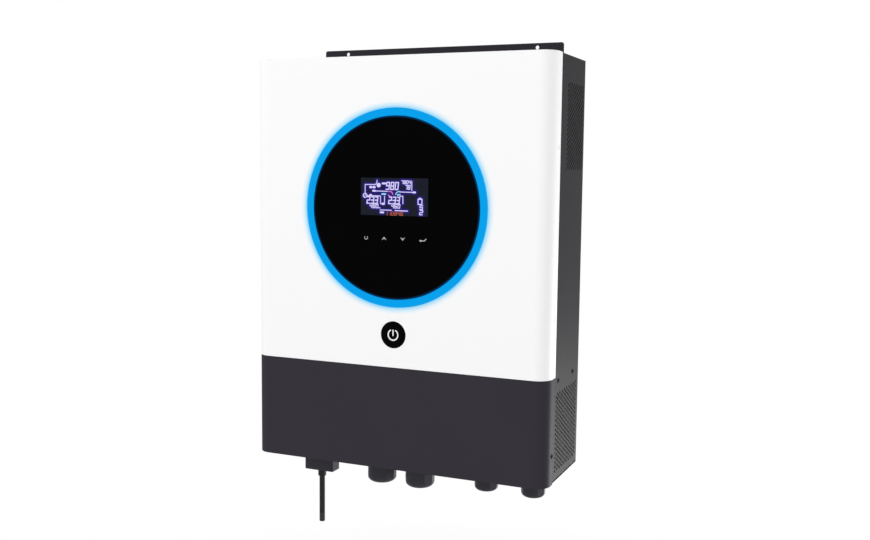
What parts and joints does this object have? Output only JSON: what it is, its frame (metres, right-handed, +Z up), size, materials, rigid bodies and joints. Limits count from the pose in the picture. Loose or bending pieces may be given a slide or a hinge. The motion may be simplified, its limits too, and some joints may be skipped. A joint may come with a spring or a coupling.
{
  "type": "solar inverter",
  "caption": "Wall-hung solar inverter: white front with a lit ring round a black display, push button, dark wiring cover, vented sides, cable glands and a rod antenna below.",
  "frame": {"origin": "midway between the two upper wall holes, on the wall plane", "axes": "+X to the right seen from the front, +Y into the wall, +Z up"},
  "size_m": [0.4344, 0.148, 0.6988],
  "materials": {
    "white_paint": "smooth white powder coat, low gloss",
    "dark_paint": "fine-textured charcoal powder coat",
    "black_screw": "blackened steel",
    "plated_steel": "zinc-plated",
    "lit_ring": "translucent diffuser, lit blue",
    "black_glass": "black-backed polished glass",
    "lcd_panel": "dark LCD",
    "black_plastic": "moulded, fine grain",
    "circuit_board": "green solder mask",
    "ribbon_grey": "flat cable",
    "fan_plastic": "glass-filled black plastic",
    "bare_aluminium": "extruded, as drawn",
    "capacitor_can": "sleeved can",
    "semiconductor": "moulded package",
    "copper_winding": "enamelled copper",
    "ferrite": "sintered",
    "terminal_plastic": "terminal moulding",
    "brass_stud": "plated brass",
    "insulator_red": "insulator moulding",
    "cable_insulation": "insulated wire",
    "gland_nylon": "black nylon",
    "seal_rubber": "soft black rubber",
    "module_plastic": "black ABS"
  },
  "bodies": {
    "root": {"ac_terminal_block": "terminal_plastic", "back_panel": "dark_paint", "battery_nuts": "brass_stud", "battery_terminals": "insulator_red", "board_screws": "plated_steel", "board_standoffs": "plated_steel", "bus_capacitors": "capacitor_can", "button_bezel": "black_plastic", "button_spring": "plated_steel", "comm_board": "circuit_board", "control_board": "circuit_board", "deck_screws": "black_screw", "display_board": "circuit_board", "display_fasteners": "plated_steel", "display_glass": "black_glass", "display_housing": "black_plastic", "display_ribbon": "ribbon_grey", "divider_deck": "plated_steel", "earth_stud": "brass_stud", "fan_frame_1": "fan_plastic", "fan_frame_2": "fan_plastic", "fan_frame_3": "fan_plastic", "fan_screws": "plated_steel", "front_cover": "white_paint", "front_cover_screws": "white_paint", "gland_locknuts": "gland_nylon", "gland_plate": "dark_paint", "gland_seals": "seal_rubber", "heat_sink_left": "bare_aluminium", "heat_sink_right": "bare_aluminium", "inductors": "copper_winding", "key_board": "circuit_board", "large_gland_bodies": "gland_nylon", "lcd_module": "lcd_panel", "led_board": "circuit_board", "left_side_panel": "dark_paint", "light_ring": "lit_ring", "lower_cover": "dark_paint", "lower_cover_screws": "black_screw", "power_board": "circuit_board", "power_cables": "cable_insulation", "power_switch": "black_plastic", "power_transistors": "semiconductor", "pv_terminal_block": "terminal_plastic", "relays": "black_plastic", "right_side_panel": "dark_paint", "small_gland_bodies": "gland_nylon", "terminal_screws": "plated_steel", "top_panel": "dark_paint", "transformer": "ferrite", "wifi_module": "module_plastic"},
    "antenna": {"antenna": "module_plastic"},
    "fan_1": {"fan_rotor_1": "fan_plastic"},
    "fan_2": {"fan_rotor_2": "fan_plastic"},
    "fan_3": {"fan_rotor_3": "fan_plastic"},
    "large_nut_1": {"large_gland_nut_1": "gland_nylon"},
    "large_nut_2": {"large_gland_nut_2": "gland_nylon"},
    "button": {"power_button": "black_plastic"},
    "small_nut_1": {"small_gland_nut_1": "gland_nylon"},
    "small_nut_2": {"small_gland_nut_2": "gland_nylon"}
  },
  "joints": [
    {"name": "button_press", "type": "slide", "parent": "root", "child": "button", "axis": [0, 1, 0], "range_m": [0, 0.0025], "stiffness_N_per_m": 300, "springref_m": -0.003, "deforming": ["button_spring"]},
    {"name": "fan_1_spin", "type": "hinge", "parent": "root", "child": "fan_1", "pos_m": [-0.13, -0.046, -0.433], "axis": [0, 0, 1], "continuous": true},
    {"name": "fan_2_spin", "type": "hinge", "parent": "root", "child": "fan_2", "pos_m": [0, -0.046, -0.433], "axis": [0, 0, 1], "continuous": true},
    {"name": "fan_3_spin", "type": "hinge", "parent": "root", "child": "fan_3", "pos_m": [0.13, -0.046, -0.433], "axis": [0, 0, 1], "continuous": true},
    {"name": "large_nut_1_turn", "type": "hinge", "parent": "root", "child": "large_nut_1", "pos_m": [-0.0495, -0.077, -0.6], "axis": [0, 0, 1], "range_deg": [-720, 0]},
    {"name": "large_nut_2_turn", "type": "hinge", "parent": "root", "child": "large_nut_2", "pos_m": [0.01, -0.077, -0.6], "axis": [0, 0, 1], "range_deg": [-720, 0]},
    {"name": "small_nut_1_turn", "type": "hinge", "parent": "root", "child": "small_nut_1", "pos_m": [0.11, -0.077, -0.6], "axis": [0, 0, 1], "range_deg": [-720, 0]},
    {"name": "small_nut_2_turn", "type": "hinge", "parent": "root", "child": "small_nut_2", "pos_m": [0.1775, -0.077, -0.6], "axis": [0, 0, 1], "range_deg": [-720, 0]},
    {"name": "antenna_turn", "type": "hinge", "parent": "root", "child": "antenna", "pos_m": [-0.154, -0.0665, -0.65], "axis": [0, 0, 1], "range_deg": [-180, 180]}
  ]
}
